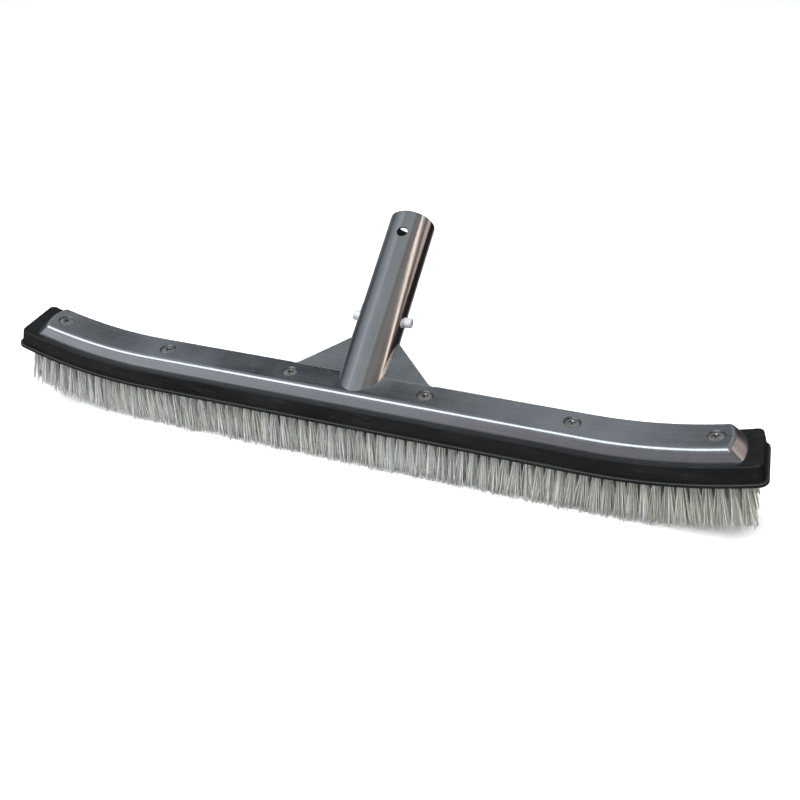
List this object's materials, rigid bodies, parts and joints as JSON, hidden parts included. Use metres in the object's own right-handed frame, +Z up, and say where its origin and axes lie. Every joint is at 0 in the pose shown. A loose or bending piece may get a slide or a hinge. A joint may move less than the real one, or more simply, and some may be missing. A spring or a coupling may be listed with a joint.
{
  "type": "pool wall brush",
  "caption": "Wide curved brush head with a pressed aluminium back and a leaning tube handle with a spring clip, for a telescopic pole.",
  "frame": {"origin": "the tip of the middle tuft, at the middle of the scrubbing face; the tips of the tufts in the straight middle of the head stand on Z = 0", "axes": "+X along the head, +Y towards the side that the handle leans to, +Z up from the bristles to the back"},
  "size_m": [0.4542, 0.1317, 0.1121],
  "materials": {
    "block_plastic": "moulded black, slightly glossy",
    "back_aluminium": "polished",
    "tube_aluminium": "polished",
    "screw_steel": "plain",
    "anchor_steel": "plain",
    "bristle_nylon": "off-white filaments",
    "clip_nylon": "white nylon"
  },
  "bodies": {
    "head": {"brush_block": "block_plastic", "back_plate": "back_aluminium", "handle_tube": "tube_aluminium", "clip_bridge": "clip_nylon", "screw_1": "screw_steel", "screw_2": "screw_steel", "screw_3": "screw_steel", "screw_4": "screw_steel", "screw_5": "screw_steel", "screw_6": "screw_steel", "tufts_row_1": "bristle_nylon", "tufts_row_2": "bristle_nylon", "tufts_row_3": "bristle_nylon", "tufts_row_4": "bristle_nylon", "tufts_row_5": "bristle_nylon", "anchors_row_1": "anchor_steel", "anchors_row_2": "anchor_steel", "anchors_row_3": "anchor_steel", "anchors_row_4": "anchor_steel", "anchors_row_5": "anchor_steel"},
    "button_right": {"clip_arm_right": "clip_nylon"},
    "button_left": {"clip_arm_left": "clip_nylon"}
  },
  "joints": [
    {"name": "button_right_press", "type": "hinge", "parent": "head", "child": "button_right", "pos_m": [0.01086, 0.07946, 0.08397], "axis": [0, 0.5075, -0.8616], "range_deg": [0, 7.1], "stiffness_Nm_per_rad": 2, "springref_deg": -4.98},
    {"name": "button_left_press", "type": "hinge", "parent": "head", "child": "button_left", "pos_m": [-0.01086, 0.07946, 0.08397], "axis": [0, -0.5075, 0.8616], "range_deg": [0, 7.1], "stiffness_Nm_per_rad": 2, "springref_deg": -4.98}
  ]
}
